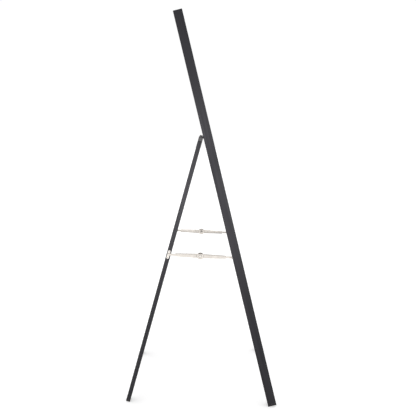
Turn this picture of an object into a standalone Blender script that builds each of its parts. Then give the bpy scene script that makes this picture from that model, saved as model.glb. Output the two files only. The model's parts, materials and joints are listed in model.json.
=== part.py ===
"""Folding board easel: a front frame that holds a flush board, and a rear frame hinged to it.

Metres, +Z up, +X across the width, -Y towards the front. The origin is on the floor, under the middle
of the easel. The easel stands open, with both folding stays straight.
"""

import math

import bmesh
import bpy
from mathutils import Matrix, Vector

# Timber
WIDTH = 0.660
STILE = 0.038
STILE_LENGTH = 1.730
LEG_WIDTH = 0.038
LEG_DEPTH = 0.019
EASED_EDGE = 0.001
STILE_LEAN = math.radians(13.67)
LEG_LEAN = math.radians(15.60)
RAIL_HEIGHT = 0.038
HINGE_RAIL_HEIGHT = 0.050
HINGE_RAIL_DEPTH = 0.019
CAP_RAIL_HEIGHT = 0.0165
STRETCHER_HEIGHT = 0.160
BOARD_RAIL_HEIGHT = 0.585
REAR_RAIL_CLEARANCE = 0.200
TENON_LENGTH = 0.012

# Board, in a groove near the front of the frame
BOARD_THICKNESS = 0.005
BOARD_SETBACK = 0.006
GROOVE_DEPTH = 0.008

# Butt hinges between the hinge rail and the rear frame's top rail
PIN_ALONG_STILE = 1.210
PIN_OFFSET = 0.0008
PIN_RADIUS = 0.0015
CAP_ABOVE_PIN = 0.001
RAIL_ABOVE_PIN = 0.008
KNUCKLE_RADIUS = 0.003
KNUCKLES = 5
LEAF_LENGTH = 0.064
LEAF_HEIGHT = 0.0155
LEAF_THICKNESS = 0.0014
HINGE_POSITION = 0.170
HINGE_SCREW_SPREAD = 0.040
HINGE_SCREW_DROP = 0.0095

# Folding stays, in the gap between a stile and the leg beside it
PLATE_THICKNESS = 0.00125
PLATE_LENGTH = 0.039
PLATE_WIDTH = 0.011
PLATE_SCREW_SPREAD = 0.028
ARM_THICKNESS = 0.002
FRONT_PIVOT_DEPTH = 0.0075
FRONT_PIVOT_ALONG = 0.6823
REAR_PIVOT_DEPTH = 0.010
REAR_PIVOT_DROP = 0.5199
HUB_RADIUS = 0.0155
FRONT_HUB_RADIUS = 0.0125
ARM_HALF_WIDTH_AT_HUB = 0.0096
ARM_HALF_WIDTH_AT_NOSE = 0.0070
NOSE_FROM_HUB = 0.111
TONGUE_HALF_WIDTH = 0.0045
ARM_END_RADIUS = 0.0058
NOSE_SLOPE = 0.004

# Fastenings
RIVET_RADIUS = 0.0024
RIVET_HEAD_RADIUS = 0.0042
HUB_RIVET_RADIUS = 0.003
HUB_RIVET_HEAD_RADIUS = 0.0056
RIVET_HEAD_HEIGHT = 0.0011
RIVET_DOME = 0.0008
SCREW_SHANK_RADIUS = 0.0015
SCREW_HEAD_RADIUS = 0.0032
SCREW_RIM = 0.0002
SMALL_SCREW_LENGTH = 0.014
CAP_SCREW_LENGTH = 0.048
DOWEL_RADIUS = 0.004
DOWEL_LENGTH = 0.040

# Fits
TOUCH = 0.0003
SLIP = 0.00015
MERGE = 0.00001

# Derived places
INNER_FACE = WIDTH / 2 - STILE
TOUCHES_IN_STAY = 5
STAY_GAP = 2 * PLATE_THICKNESS + 2 * ARM_THICKNESS + TOUCHES_IN_STAY * TOUCH
LEG_FACE = INNER_FACE - STAY_GAP
PIECES = bpy.data.collections.new("folding_board_easel")
CUTTERS = bpy.data.collections.new("cutters")


def clear_scene():
    for obj in list(bpy.data.objects):
        bpy.data.objects.remove(obj, do_unlink=True)
    for collection in (PIECES, CUTTERS):
        bpy.context.scene.collection.children.link(collection)
    CUTTERS.hide_render = True


def material(name, colour, roughness, metallic=0.0):
    made = bpy.data.materials.new(name)
    made.use_nodes = True
    shader = made.node_tree.nodes["Principled BSDF"]
    shader.inputs["Base Color"].default_value = (*colour, 1.0)
    shader.inputs["Roughness"].default_value = roughness
    shader.inputs["Metallic"].default_value = metallic
    return made


BLACK_PAINT = material("black_paint", (0.035, 0.035, 0.037), 0.55)
SLATE = material("slate_paint", (0.030, 0.033, 0.032), 0.85)
BARE_WOOD = material("bare_wood", (0.55, 0.38, 0.22), 0.70)
NICKEL = material("nickel_plate", (0.72, 0.69, 0.65), 0.30, metallic=1.0)
HINGE_STEEL = material("hinge_steel", (0.20, 0.20, 0.20), 0.45, metallic=1.0)


# Making and placing shapes


def add(name, data, parent, surface):
    """A visible piece, or a cutter when it has no surface."""
    obj = bpy.data.objects.new(name, data)
    obj.parent = parent
    if surface is None:
        CUTTERS.objects.link(obj)
        obj.hide_render = True
        obj.display_type = "WIRE"
    else:
        PIECES.objects.link(obj)
        data.materials.append(surface)
    return obj


def empty(name, matrix, parent=None):
    obj = bpy.data.objects.new(name, None)
    obj.parent = parent
    obj.matrix_basis = matrix
    PIECES.objects.link(obj)
    return obj


def box(name, low, high, parent, surface, edge=0.0):
    """A block between two corners in its parent's coordinates, with its edges eased by edge."""
    low, high = Vector(low), Vector(high)
    shape = bmesh.new()
    bmesh.ops.create_cube(shape, size=1.0)
    bmesh.ops.scale(shape, vec=high - low, verts=shape.verts)
    mesh = bpy.data.meshes.new(name)
    shape.to_mesh(mesh)
    shape.free()
    obj = add(name, mesh, parent, surface)
    obj.location = (low + high) / 2
    if edge:
        bevel = obj.modifiers.new("eased_edges", "BEVEL")
        bevel.width = edge
        bevel.segments = 1
    return obj


def turned(name, profile, parent, surface, matrix, steps=16):
    """A round piece about its own Z, from (radius, height) points that run down its outer side."""
    mesh = bpy.data.meshes.new(name)
    points = [(radius, 0.0, height) for radius, height in profile]
    edges = [(i, i + 1) for i in range(len(points) - 1)]
    mesh.from_pydata(points, edges, [])
    obj = add(name, mesh, parent, surface)
    obj.matrix_basis = matrix
    spin = obj.modifiers.new("turn", "SCREW")
    spin.steps = spin.render_steps = steps
    spin.use_merge_vertices = True
    spin.merge_threshold = MERGE
    spin.use_smooth_shade = True
    return obj


def cylinder(name, radius, length, parent, surface, matrix, steps=16):
    """A plain cylinder about its own Z, centred on its origin."""
    ends = length / 2
    profile = [(0, ends), (radius, ends), (radius, -ends), (0, -ends)]
    return turned(name, profile, parent, surface, matrix, steps)


def flat(name, outlines, thickness, parent, surface, matrix):
    """A flat piece in its own XY plane. Its first outline is the outside and the others are holes."""
    curve = bpy.data.curves.new(name, "CURVE")
    curve.dimensions = "2D"
    curve.fill_mode = "BOTH"
    curve.extrude = thickness / 2
    for points in outlines:
        spline = curve.splines.new("POLY")
        spline.points.add(len(points) - 1)
        for point, (x, y) in zip(spline.points, points):
            point.co = (x, y, 0, 1)
        spline.use_cyclic_u = True
    obj = add(name, curve, parent, surface)
    obj.matrix_basis = matrix
    return obj


def boolean(target, other, operation):
    """Cuts or joins target with a helper in the cutters' collection."""
    change = target.modifiers.new(f"{operation.lower()}_{other.name}"[:60], "BOOLEAN")
    change.operation = operation
    change.solver = "EXACT"
    change.object = other


def cut_box(name, low, high, parent, targets, gap=TOUCH):
    """Takes a block out of the targets, gap larger all round than the piece that goes in it."""
    low = [value - gap for value in low]
    high = [value + gap for value in high]
    cutter = box(f"{name}_pocket", low, high, parent, None)
    for target in targets:
        boolean(target, cutter, "DIFFERENCE")


def arc(radius, start, end, centre=(0.0, 0.0), steps=8):
    """Points along an arc from one angle to another, both ends included."""
    angles = [start + (end - start) * i / steps for i in range(steps + 1)]
    return [(centre[0] + radius * math.cos(a), centre[1] + radius * math.sin(a)) for a in angles]


def circle(radius, centre=(0.0, 0.0), steps=16):
    return arc(radius, 0, math.tau * (1 - 1 / steps), centre, steps - 1)


def facing(position, axis, side=1):
    """A placement whose Z points along the parent's X, Y or Z axis, or against it."""
    direction = Vector([side * (name == axis) for name in "XYZ"])
    return Matrix.Translation(position) @ direction.to_track_quat("Z", "Y").to_matrix().to_4x4()


# Fastenings


def screw(name, parent, matrix, length, targets, surface=NICKEL):
    """A countersunk screw with its flat head at its origin and its shank down its own -Z."""
    cone = SCREW_HEAD_RADIUS - SCREW_SHANK_RADIUS

    def profile(gap, top):
        return [
            (0, top),
            (SCREW_HEAD_RADIUS + gap, top),
            (SCREW_HEAD_RADIUS + gap, -SCREW_RIM),
            (SCREW_SHANK_RADIUS + gap, -SCREW_RIM - cone),
            (SCREW_SHANK_RADIUS + gap, -length + SCREW_SHANK_RADIUS),
            (0, -length - gap),
        ]

    turned(name, profile(0, 0), parent, surface, matrix, 12)
    pocket = turned(f"{name}_pocket", profile(SLIP, length / 2), parent, None, matrix, 12)
    for target in targets:
        boolean(target, pocket, "DIFFERENCE")


def rivet(name, parent, matrix, radius, head_radius, grip, hollow=False):
    """A rivet that stands on its origin: a shank as long as its grip, then a domed or a hollow head."""
    top = grip + RIVET_HEAD_HEIGHT
    shoulder = top - RIVET_DOME
    if hollow:
        bore = radius * 0.6
        crown = [(0, grip), (bore, grip), (bore, top), (head_radius * 0.8, top)]
    else:
        turns = (0, math.pi / 6, math.pi / 3)
        crown = [(head_radius * math.sin(t), shoulder + RIVET_DOME * math.cos(t)) for t in turns]
    profile = [*crown, (head_radius, shoulder), (head_radius, grip), (radius, grip), (radius, 0), (0, 0)]
    turned(name, profile, parent, NICKEL, matrix, 20)


def dowel(name, centre, parent, targets):
    """A wooden dowel along X, half in the stile and half in the rail."""
    matrix = facing(centre, "X")
    cylinder(name, DOWEL_RADIUS, DOWEL_LENGTH, parent, BARE_WOOD, matrix)
    pocket = cylinder(
        f"{name}_pocket", DOWEL_RADIUS + SLIP, DOWEL_LENGTH + 2 * TOUCH, parent, None, matrix
    )
    for target in targets:
        boolean(target, pocket, "DIFFERENCE")


# Frames


def frames():
    """The front frame's axes at the stiles' feet, and the rear frame's axes on the hinge pin."""
    foot_rise = -EASED_EDGE * math.sin(STILE_LEAN)
    lean = Matrix.Rotation(-STILE_LEAN, 4, "X")
    pin = lean @ Vector((0, PIN_OFFSET, PIN_ALONG_STILE)) + Vector((0, 0, foot_rise))
    heel = pin.y + (PIN_OFFSET + LEG_DEPTH) * math.cos(LEG_LEAN) + leg_length(pin.z) * math.sin(LEG_LEAN)
    toe = -STILE * math.cos(STILE_LEAN)
    to_middle = Vector((0, -(heel + toe) / 2, 0))
    front = empty("front_axes", Matrix.Translation(to_middle + Vector((0, 0, foot_rise))) @ lean)
    rear = empty("pin_axis", Matrix.Translation(pin + to_middle) @ Matrix.Rotation(LEG_LEAN, 4, "X"))
    return front, rear


def leg_length(pin_height):
    """From the hinge pin down to a leg's cut end, so that its eased front edge is on the floor."""
    edge_depth = PIN_OFFSET + EASED_EDGE
    return (pin_height + edge_depth * math.sin(LEG_LEAN)) / math.cos(LEG_LEAN)


def front_frame(front):
    """Stiles, rails, board and dowels. Z runs up the stiles and Y = 0 is their rear face."""
    stiles = {}
    for side, word in ((-1, "left"), (1, "right")):
        inner, outer = sorted((side * INNER_FACE, side * WIDTH / 2))
        stiles[side] = box(
            f"stile_{word}", (inner, -STILE, 0), (outer, 0, STILE_LENGTH), front, BLACK_PAINT, EASED_EDGE
        )
    hinge_top = PIN_ALONG_STILE + RAIL_ABOVE_PIN
    spans = {
        "top_rail": (STILE_LENGTH - RAIL_HEIGHT, STILE_LENGTH, STILE),
        "board_rail": (BOARD_RAIL_HEIGHT, BOARD_RAIL_HEIGHT + RAIL_HEIGHT, STILE),
        "lower_stretcher": (STRETCHER_HEIGHT, STRETCHER_HEIGHT + RAIL_HEIGHT, STILE),
        "hinge_rail": (hinge_top - HINGE_RAIL_HEIGHT, hinge_top, HINGE_RAIL_DEPTH),
    }
    reach = INNER_FACE - TOUCH
    rails = {}
    for name, (bottom, top, depth) in spans.items():
        rails[name] = box(name, (-reach, -depth, bottom), (reach, 0, top), front, BLACK_PAINT, EASED_EDGE)
        for side, word in ((-1, "left"), (1, "right")):
            centre = (side * INNER_FACE, -depth / 2, (bottom + top) / 2)
            dowel(f"{name}_dowel_{word}", centre, front, [rails[name], stiles[side]])
    board(front, spans, [*stiles.values(), rails["top_rail"], rails["board_rail"]])
    return stiles, rails["hinge_rail"]


def board(front, spans, grooved):
    """The panel, and the groove for it in the pieces round it."""
    face = -STILE + BOARD_SETBACK
    bottom = spans["board_rail"][1] - GROOVE_DEPTH
    top = spans["top_rail"][0] + GROOVE_DEPTH
    reach = INNER_FACE + GROOVE_DEPTH
    low, high = (-reach, face, bottom), (reach, face + BOARD_THICKNESS, top)
    box("board_panel", low, high, front, SLATE)
    cut_box("board_panel", low, high, front, grooved)


def rear_frame(rear):
    """Legs, the rail that caps them and the tenoned lower rail. The origin is on the hinge pin."""
    face, back = PIN_OFFSET, PIN_OFFSET + LEG_DEPTH
    cap_bottom = CAP_ABOVE_PIN - CAP_RAIL_HEIGHT
    foot = -leg_length(rear.matrix_basis.translation.z)
    cap = box(
        "rear_top_rail", (-LEG_FACE, face, cap_bottom), (LEG_FACE, back, CAP_ABOVE_PIN),
        rear, BLACK_PAINT, EASED_EDGE
    )
    legs = {}
    for side, word in ((-1, "left"), (1, "right")):
        inner, outer = sorted((side * (LEG_FACE - LEG_WIDTH), side * LEG_FACE))
        legs[side] = box(
            f"rear_leg_{word}", (inner, face, foot), (outer, back, cap_bottom - TOUCH),
            rear, BLACK_PAINT, EASED_EDGE
        )
        head = (side * (LEG_FACE - LEG_WIDTH / 2), (face + back) / 2, CAP_ABOVE_PIN)
        wood = [cap, legs[side]]
        screw(f"cap_screw_{word}", rear, facing(head, "Z"), CAP_SCREW_LENGTH, wood, BLACK_PAINT)
    rear_lower_rail(rear, foot + REAR_RAIL_CLEARANCE, legs)
    return legs, cap


def rear_lower_rail(rear, bottom, legs):
    face, back = PIN_OFFSET, PIN_OFFSET + LEG_DEPTH
    reach = LEG_FACE - LEG_WIDTH - TOUCH
    rail = box(
        "rear_lower_rail", (-reach, face, bottom), (reach, back, bottom + RAIL_HEIGHT),
        rear, BLACK_PAINT, EASED_EDGE
    )
    shoulder = LEG_DEPTH / 4
    low = (-reach - TENON_LENGTH, face + shoulder, bottom + shoulder)
    high = (reach + TENON_LENGTH, back - shoulder, bottom + RAIL_HEIGHT - shoulder)
    boolean(rail, box("tenons", low, high, rear, None), "UNION")
    cut_box("tenons", low, high, rear, legs.values())


# Hinges


def hinge(word, side, front, rear, hinge_rail, cap):
    """A butt hinge: a leaf on each frame, with its knuckles round one pin."""
    x = side * HINGE_POSITION
    leaf(f"hinge_fixed_leaf_{word}", front, (x, PIN_OFFSET, PIN_ALONG_STILE), -1, 0, hinge_rail)
    leaf(f"hinge_moving_leaf_{word}", rear, (x, 0, 0), 1, 1, cap)
    pin = facing((x, PIN_OFFSET, PIN_ALONG_STILE), "X")
    cylinder(f"hinge_pin_{word}", PIN_RADIUS, LEAF_LENGTH, front, HINGE_STEEL, pin)


def leaf(name, frame, pin, way, first_gap, rail):
    """One leaf with its face PIN_OFFSET from the pin, on the side given by way, hanging below it."""
    x, y, z = pin
    half = LEAF_LENGTH / 2
    depths = sorted((y + way * PIN_OFFSET, y + way * (PIN_OFFSET + LEAF_THICKNESS)))
    low, high = (x - half, depths[0], z - LEAF_HEIGHT), (x + half, depths[1], z)
    plate = box(name, low, high, frame, HINGE_STEEL)
    barrel = cylinder(f"{name}_barrel", KNUCKLE_RADIUS, LEAF_LENGTH, frame, None, facing(pin, "X"), 20)
    boolean(plate, barrel, "UNION")
    bore = cylinder(f"{name}_bore", PIN_RADIUS + SLIP, 2 * LEAF_LENGTH, frame, None, facing(pin, "X"))
    boolean(plate, bore, "DIFFERENCE")
    pitch = LEAF_LENGTH / KNUCKLES
    around = KNUCKLE_RADIUS
    for i in range(1 - first_gap, KNUCKLES, 2):
        start = x - half + i * pitch
        near, far = (start, y - around, z - around), (start + pitch, y + around, z + around)
        cut_box(f"{name}_gap_{i}", near, far, frame, [plate])
    cut_box(f"{name}_gain", low, high, frame, [rail])
    barrel_low = (x - half, y - around, z - around)
    cut_box(f"{name}_barrel_gain", barrel_low, (x + half, y + around, z + around), frame, [rail])
    for number, spread in ((1, -1), (2, 1)):
        head = (x + spread * HINGE_SCREW_SPREAD / 2, y + way * PIN_OFFSET, z - HINGE_SCREW_DROP)
        matrix = facing(head, "Y", -way)
        screw(f"{name.replace('leaf', 'screw')}_{number}", frame, matrix, SMALL_SCREW_LENGTH, [plate, rail])


# Folding stays


def arm_lengths(reach, rise, half_gap):
    """Front and rear arm lengths that make a straight stay and meet again above both pivots when folded.

    reach is the distance between the pivots when open. When folded, the rear pivot is rise above the
    front one and twice half_gap behind it.
    """
    front = rear = reach / 2
    for _ in range(12):
        height = math.sqrt(front**2 - half_gap**2)
        difference = (2 * height * rise - rise**2) / reach
        front, rear = (reach + difference) / 2, (reach - difference) / 2
    return front, rear


def layer_centres():
    """Distance from the middle plane of each stay layer, from the leg outwards to the stile."""
    centres = {}
    face = LEG_FACE
    for name in ("leg_plate", "rear_arm", "front_arm", "stile_plate"):
        thickness = PLATE_THICKNESS if name.endswith("plate") else ARM_THICKNESS
        centres[name] = face + TOUCH + thickness / 2
        face += TOUCH + thickness
    return centres


def arm_outline(length, hub_radius):
    """An arm along +X from its pivot to its hub: round end, narrow tongue, tapering body, round hub."""
    nose = length - NOSE_FROM_HUB
    slope = math.asin(TONGUE_HALF_WIDTH / ARM_END_RADIUS)
    join = math.asin(ARM_HALF_WIDTH_AT_HUB / hub_radius)
    upper = [
        *arc(ARM_END_RADIUS, math.pi, slope),
        (nose, TONGUE_HALF_WIDTH),
        (nose + NOSE_SLOPE, ARM_HALF_WIDTH_AT_NOSE),
        *arc(hub_radius, math.pi - join, 0, (length, 0), 12),
    ]
    return upper + [(x, -y) for x, y in reversed(upper[1:-1])]


def pivot_axes(name, frame, pivot, hub, x):
    """An empty at a pivot, with X towards the hub, Y upwards and Z across the easel."""
    along = (hub - pivot).normalized()
    up = Vector((0, -along.z, along.y)) * math.copysign(1, along.y)
    columns = Matrix((along, up, along.cross(up))).transposed().to_4x4()
    return empty(name, Matrix.Translation((x, pivot.y, pivot.z)) @ columns, frame)


def arm(name, axes, length, hub_radius, side):
    """One arm of a stay about its pivot, with its half of the hub rivet on the arm's open side."""
    outlines = [
        arm_outline(length, hub_radius),
        circle(RIVET_RADIUS + 2 * SLIP),
        circle(HUB_RIVET_RADIUS + SLIP, (length, 0)),
    ]
    flat(name, outlines, ARM_THICKNESS, axes, NICKEL, Matrix())
    foot = (length, 0, -side * ARM_THICKNESS / 2)
    rivet(
        name.replace("arm", "hub_rivet"), axes, facing(foot, "Z", side), HUB_RIVET_RADIUS,
        HUB_RIVET_HEAD_RADIUS, ARM_THICKNESS + TOUCH / 2, hollow="rear" in name
    )


def mounting_plate(name, frame, centre, wood, way):
    """An obround plate along the timber, with a rivet hole and two screws into the wood.

    way is the direction along X from the wood towards the arm.
    """
    half = (PLATE_LENGTH - PLATE_WIDTH) / 2
    radius = PLATE_WIDTH / 2
    upper = arc(radius, 0, math.pi, (0, half))
    lower = arc(radius, math.pi, math.tau, (0, -half))
    offsets = (PLATE_SCREW_SPREAD / 2, -PLATE_SCREW_SPREAD / 2)
    holes = [circle(SCREW_HEAD_RADIUS + SLIP, (0, offset), 12) for offset in offsets]
    across = Matrix(((0, 0, 1), (1, 0, 0), (0, 1, 0))).to_4x4()
    matrix = Matrix.Translation(centre) @ across
    flat(name, [upper + lower, circle(RIVET_RADIUS + SLIP), *holes], PLATE_THICKNESS, frame, NICKEL, matrix)
    for number, offset in enumerate(offsets, 1):
        head = centre + Vector((way * PLATE_THICKNESS / 2, 0, offset))
        screw(f"{name}_screw_{number}", frame, facing(head, "X", way), SMALL_SCREW_LENGTH, [wood])


def stay(word, side, front, rear, stile, leg):
    """A two-armed folding stay between a stile's inner face and the leg's outer face."""
    layers = {name: side * centre for name, centre in layer_centres().items()}
    to_rear = rear.matrix_basis.inverted() @ front.matrix_basis
    front_pivot = Vector((0, -FRONT_PIVOT_DEPTH, FRONT_PIVOT_ALONG))
    rear_pivot = Vector((0, PIN_OFFSET + REAR_PIVOT_DEPTH, -REAR_PIVOT_DROP))
    span = to_rear.inverted() @ rear_pivot - front_pivot
    rise = PIN_ALONG_STILE - REAR_PIVOT_DROP - FRONT_PIVOT_ALONG
    half_gap = (FRONT_PIVOT_DEPTH + 2 * PIN_OFFSET + REAR_PIVOT_DEPTH) / 2
    front_length, rear_length = arm_lengths(span.length, rise, half_gap)
    hub = front_pivot + span.normalized() * front_length

    axes = pivot_axes(f"stay_front_pivot_{word}", front, front_pivot, hub, layers["front_arm"])
    arm(f"stay_front_arm_{word}", axes, front_length, FRONT_HUB_RADIUS, side)
    axes = pivot_axes(f"stay_rear_pivot_{word}", rear, rear_pivot, to_rear @ hub, layers["rear_arm"])
    arm(f"stay_rear_arm_{word}", axes, rear_length, HUB_RADIUS, side)
    mount_arm("stile", word, front, Vector((layers["stile_plate"], *front_pivot.yz)), stile, -side)
    mount_arm("leg", word, rear, Vector((layers["leg_plate"], *rear_pivot.yz)), leg, side)


def mount_arm(timber, word, frame, centre, wood, way):
    """The mounting plate of one arm and the rivet that the arm turns on."""
    mounting_plate(f"{timber}_plate_{word}", frame, centre, wood, way)
    foot = centre - Vector((way * PLATE_THICKNESS / 2, 0, 0))
    grip = PLATE_THICKNESS + ARM_THICKNESS + 2 * TOUCH
    rivet(f"{timber}_rivet_{word}", frame, facing(foot, "X", way), RIVET_RADIUS, RIVET_HEAD_RADIUS, grip)


def main():
    clear_scene()
    front, rear = frames()
    stiles, hinge_rail = front_frame(front)
    legs, cap = rear_frame(rear)
    for side, word in ((-1, "left"), (1, "right")):
        hinge(word, side, front, rear, hinge_rail, cap)
        stay(word, side, front, rear, stiles[side], legs[side])


main()
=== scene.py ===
"""Looks for the folding board easel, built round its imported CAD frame.

Metres, +Z up, +X across the easel, -Y towards its front. Timber and hardware replace their CAD solids at
the places those solids give, so nothing here moves or resizes the frame.
"""

import json
import math

import bmesh
import bpy
from mathutils import Matrix, Vector, noise


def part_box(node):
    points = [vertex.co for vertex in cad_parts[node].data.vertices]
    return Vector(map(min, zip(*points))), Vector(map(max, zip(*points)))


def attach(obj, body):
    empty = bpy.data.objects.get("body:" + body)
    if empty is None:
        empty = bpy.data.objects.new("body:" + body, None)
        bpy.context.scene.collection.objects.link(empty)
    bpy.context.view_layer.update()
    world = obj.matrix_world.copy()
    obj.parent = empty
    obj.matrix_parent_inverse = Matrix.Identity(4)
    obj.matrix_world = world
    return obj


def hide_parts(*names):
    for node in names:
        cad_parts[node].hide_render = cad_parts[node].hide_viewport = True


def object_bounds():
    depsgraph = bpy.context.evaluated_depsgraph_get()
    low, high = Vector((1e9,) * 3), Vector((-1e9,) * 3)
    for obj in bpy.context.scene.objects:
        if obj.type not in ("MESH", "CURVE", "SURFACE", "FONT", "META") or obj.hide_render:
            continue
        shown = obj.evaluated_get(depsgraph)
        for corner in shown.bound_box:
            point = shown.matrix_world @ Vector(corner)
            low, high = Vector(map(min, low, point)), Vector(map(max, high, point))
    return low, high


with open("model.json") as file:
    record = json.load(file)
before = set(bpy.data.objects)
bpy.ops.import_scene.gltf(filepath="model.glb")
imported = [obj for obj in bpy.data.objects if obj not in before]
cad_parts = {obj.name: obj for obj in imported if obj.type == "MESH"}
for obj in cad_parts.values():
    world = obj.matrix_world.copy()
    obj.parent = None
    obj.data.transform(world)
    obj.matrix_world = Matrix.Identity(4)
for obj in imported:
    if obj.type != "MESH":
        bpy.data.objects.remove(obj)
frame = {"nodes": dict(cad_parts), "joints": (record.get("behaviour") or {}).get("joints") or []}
cad_low, cad_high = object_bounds()
NODES = frame["nodes"]
JOINTS = {joint["name"]: joint for joint in frame["joints"]}
SIDES = {"left": -1, "right": 1}

# What the two side lights reach
timber_and_board = bpy.data.collections.new("timber_and_board")

# The two frames' own axes: Z up the stiles, or up the legs
FRONT_AXES = Matrix.Rotation(math.radians(-13.67), 4, "X")
REAR_AXES = Matrix.Rotation(math.radians(15.60), 4, "X")
ALONG_X = Matrix.Rotation(math.radians(90), 4, "Y")

# Timber
ARRIS = 0.0015
ARRIS_SEGMENTS = 3
RING_SPACING = 0.014
PLANING_WAVE = 0.00012
ARRIS_DENT = 0.0005
FOOT_WEAR = 0.0009
FOOT_WEAR_HEIGHT = 0.035
POCKET_GAP = 0.00015

# Folding stays
ARM_END_RADIUS = 0.0058
TONGUE_HALF_WIDTH = 0.0045
LEAST_HALF_WIDTH = 0.0004
NOSE_FROM_HUB = 0.111
NOSE_LENGTH = 0.006
NOSE_HALF_WIDTH = 0.0070
HUB_END_HALF_WIDTH = 0.0096
HUB_RADIUS = {"front": 0.0125, "rear": 0.0155}
HUB_SHEET = {"front": (-0.0010, 0.0004), "rear": (-0.0005, 0.0010)}
CRESCENT_RADII = (0.0123, 0.0139)
CRESCENT_DEPTH = 0.0007
CRESCENT_ANGLES = (math.radians(42), math.radians(128))
# Radii of the painted shade in the crescent under the rear arm's lip, for each arm
CRESCENT_PAINTED_SHADE = {"front": (0.0106, 0.0128), "rear": (0.0119, 0.0138)}
PIVOT_HOLE = 0.0026
HUB_HOLE = 0.0031
PLATE_HOLE = 0.0025

# Hinges
PIN_BORE = 0.00165
LEAF_FACE = 0.0008
LEAF_BACK = 0.0022
LEAF_CORNER = 0.003
KNUCKLES = 5

# Camera and light
CAMERA_PLACE = Vector((-2.660, -0.0206, 1.2237))
CAMERA_PITCH = math.radians(-8.23)
CAMERA_YAW = math.radians(-0.27)
CAMERA_ROLL = math.radians(0.09)
CAMERA_LENS = 48.7
WALL_LIGHT = 1.02
CEILING_LIGHT = 0.30
KEY_PLACE = (-3.1, 0.1, 0.74)
KEY_TARGET = (-0.3, 0.0, 0.98)
KEY_SIZE = (0.9, 0.6)
KEY_POWER = 42
OVERHEAD_STRENGTH = 1.0
FLOOR_GLOW = 0.38


# Materials


class Graph:
    """A material's nodes, with short calls for the ones that every surface here needs."""

    def __init__(self, name, seed=0.0):
        self.material = bpy.data.materials.new(name)
        self.material.use_nodes = True
        self.tree = self.material.node_tree
        self.shader = self.tree.nodes["Principled BSDF"]
        coordinates = self.tree.nodes.new("ShaderNodeTexCoord")
        shift = self.node("ShaderNodeVectorMath", {0: coordinates.outputs["Object"]}, operation="ADD")
        shift.inputs[1].default_value = (0.37 * seed, 0.73 * seed, 1.91 * seed)
        self.raw = coordinates.outputs["Object"]
        self.place = shift.outputs[0]

    def node(self, kind, inputs, **settings):
        made = self.tree.nodes.new(kind)
        for key, value in settings.items():
            setattr(made, key, value)
        for key, value in inputs.items():
            self.feed(made.inputs[key], value)
        return made

    def feed(self, socket, value):
        if isinstance(value, bpy.types.NodeSocket):
            self.tree.links.new(value, socket)
        else:
            socket.default_value = value

    def stretch(self, scale, turn=(0, 0, 0), source=None):
        mapping = self.node("ShaderNodeMapping", {"Vector": source or self.place})
        mapping.inputs["Scale"].default_value = scale
        mapping.inputs["Rotation"].default_value = turn
        return mapping.outputs[0]

    def noise(self, scale, detail=3.0, distortion=0.0, turn=(0, 0, 0)):
        """Noise from 0 to 1, with about scale features a metre along each axis."""
        inputs = {"Vector": self.stretch(scale, turn), "Scale": 1.0, "Detail": detail}
        inputs["Distortion"] = distortion
        return self.node("ShaderNodeTexNoise", inputs).outputs[0]

    def remap(self, value, low, high, start=0.0, end=1.0):
        """value from low to high becomes start to end, eased and held at both ends."""
        inputs = {"Value": value, "From Min": low, "From Max": high, "To Min": start, "To Max": end}
        made = self.node("ShaderNodeMapRange", inputs, interpolation_type="SMOOTHSTEP")
        return made.outputs[0]

    def math(self, operation, first, second):
        return self.node("ShaderNodeMath", {0: first, 1: second}, operation=operation).outputs[0]

    def mix(self, factor, first, second):
        made = self.tree.nodes.new("ShaderNodeMix")
        made.data_type = "RGBA"
        self.feed(made.inputs["Factor"], factor)
        for socket, value in ((made.inputs[6], first), (made.inputs[7], second)):
            self.feed(socket, value if isinstance(value, bpy.types.NodeSocket) else (*value, 1.0))
        return made.outputs[2]

    def attribute(self, name):
        return self.node("ShaderNodeAttribute", {}, attribute_name=name).outputs["Fac"]

    def bump(self, height, distance, strength=1.0, normal=None):
        inputs = {"Height": height, "Distance": distance, "Strength": strength}
        if normal:
            inputs["Normal"] = normal
        return self.node("ShaderNodeBump", inputs).outputs[0]

    def surface(self, colour, roughness, normal, metallic=0.0, **constants):
        self.feed(self.shader.inputs["Base Color"], colour)
        self.feed(self.shader.inputs["Roughness"], roughness)
        self.feed(self.shader.inputs["Normal"], normal)
        self.shader.inputs["Metallic"].default_value = metallic
        for name, value in constants.items():
            self.shader.inputs[name.replace("_", " ").title().replace("Ior", "IOR")].default_value = value
        return self.material


def growth_rings(graph, seed):
    """Rings round a pith that runs beside the timber and a little out of line with it."""
    lean = graph.stretch((1, 1, 0.03), (0.012, 0.02 + 0.01 * math.sin(seed), 0), graph.raw)
    away = graph.node("ShaderNodeVectorMath", {0: lean}, operation="ADD")
    away.inputs[1].default_value = (0.05 + 0.02 * math.sin(3 * seed), 0.07 * math.cos(seed), 1.3 * seed)
    inputs = {"Vector": away.outputs[0], "Scale": 84.0, "Distortion": 2.6, "Detail": 2.0, "Detail Scale": 0.6}
    made = graph.node("ShaderNodeTexWave", inputs, wave_type="RINGS", rings_direction="Z")
    return made.outputs["Fac"]


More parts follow.
